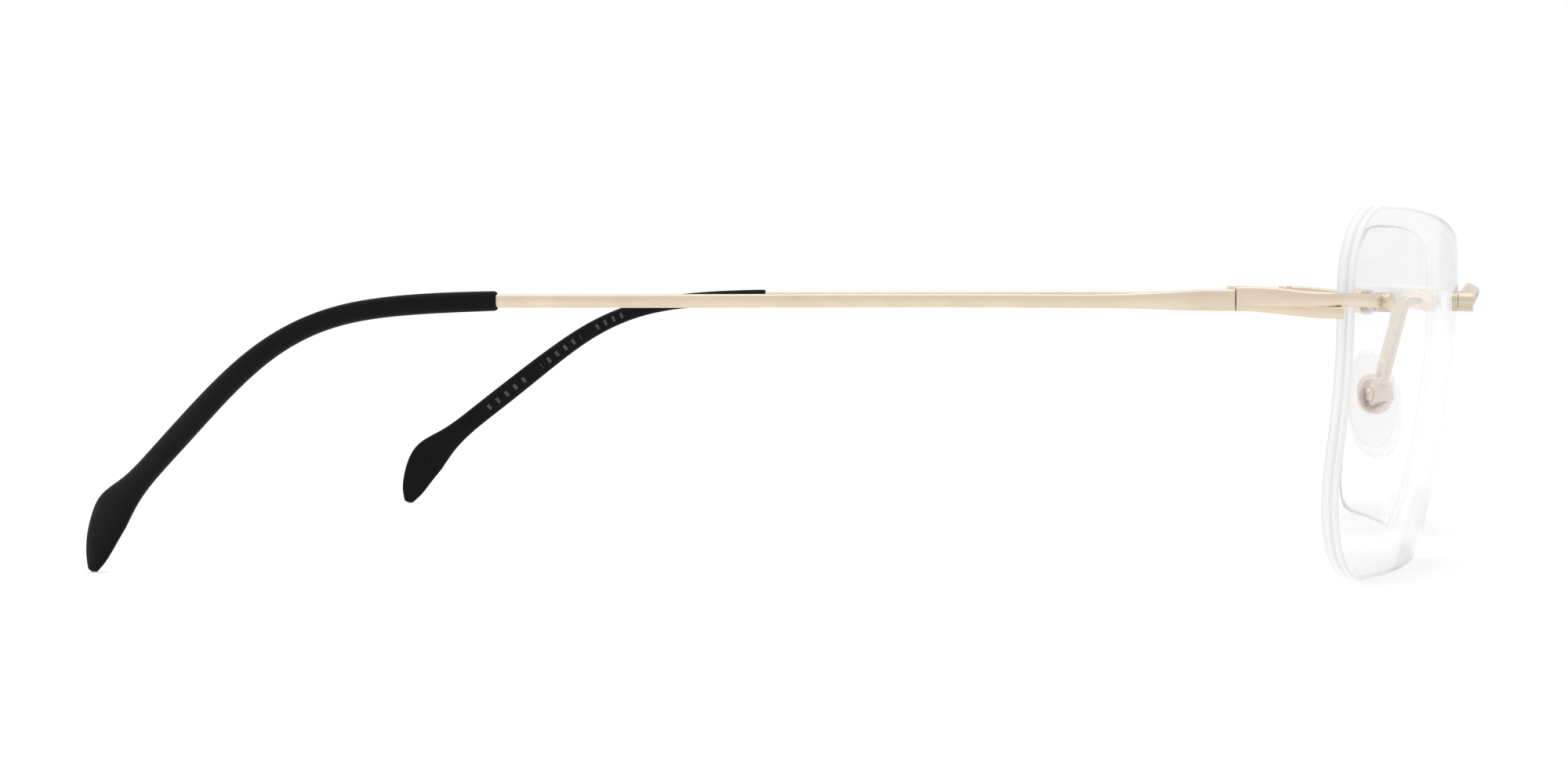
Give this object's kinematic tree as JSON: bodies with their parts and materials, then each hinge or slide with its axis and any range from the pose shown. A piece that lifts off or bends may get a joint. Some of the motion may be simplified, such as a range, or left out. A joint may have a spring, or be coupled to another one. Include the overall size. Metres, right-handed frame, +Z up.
{
  "type": "rimless eyeglasses",
  "caption": "Rimless eyeglasses: clear drilled lenses, bolted bridge and end pieces, slim hinged metal temples with dark paddle tips, clear nose pads.",
  "frame": {"origin": "middle of the bottom of the whole object, on the surface it stands on, with the temples open", "axes": "+Z up, +X to the wearer's left, -Y to the front (lenses), +Y to the rear (temple tips)"},
  "size_m": [0.1376, 0.1538, 0.0398],
  "materials": {
    "gold": "satin",
    "screw": "polished",
    "insert": "polished",
    "lens": "gloss",
    "bushing": "gloss",
    "pad": "gloss",
    "tip": "matte"
  },
  "bodies": {
    "front": {"bridge": "gold", "lens_right": "lens", "lens_left": "lens", "end_piece_right": "gold", "end_piece_left": "gold", "hinge_screw_right": "screw", "hinge_screw_left": "screw", "lens_bushings": "bushing", "end_piece_washers": "bushing", "lens_nuts": "screw", "pad_arm_right": "gold", "pad_arm_left": "gold", "pad_box_right": "gold", "pad_box_left": "gold", "pad_screw_right": "screw", "pad_screw_left": "screw"},
    "right_temple": {"temple_right": "gold", "temple_tip_right": "tip"},
    "left_temple": {"temple_left": "gold", "temple_tip_left": "tip"},
    "right_pad": {"nose_pad_right": "pad", "pad_insert_right": "insert"},
    "left_pad": {"nose_pad_left": "pad", "pad_insert_left": "insert"}
  },
  "joints": [
    {"name": "right_temple_fold", "type": "hinge", "parent": "front", "child": "right_temple", "pos_m": [-0.06475, -0.05158, 0.03005], "axis": [0, 0, -1], "range_deg": [0, 80]},
    {"name": "left_temple_fold", "type": "hinge", "parent": "front", "child": "left_temple", "pos_m": [0.06475, -0.05158, 0.03005], "axis": [0, 0, 1], "range_deg": [0, 87.5]},
    {"name": "right_pad_tilt", "type": "hinge", "parent": "front", "child": "right_pad", "pos_m": [-0.01083, -0.06537, 0.01871], "axis": [-0.3907, 0.9205, 0], "range_deg": [-9, 9]},
    {"name": "left_pad_tilt", "type": "hinge", "parent": "front", "child": "left_pad", "pos_m": [0.01083, -0.06537, 0.01871], "axis": [0.3907, 0.9205, 0], "range_deg": [-9, 9]}
  ]
}
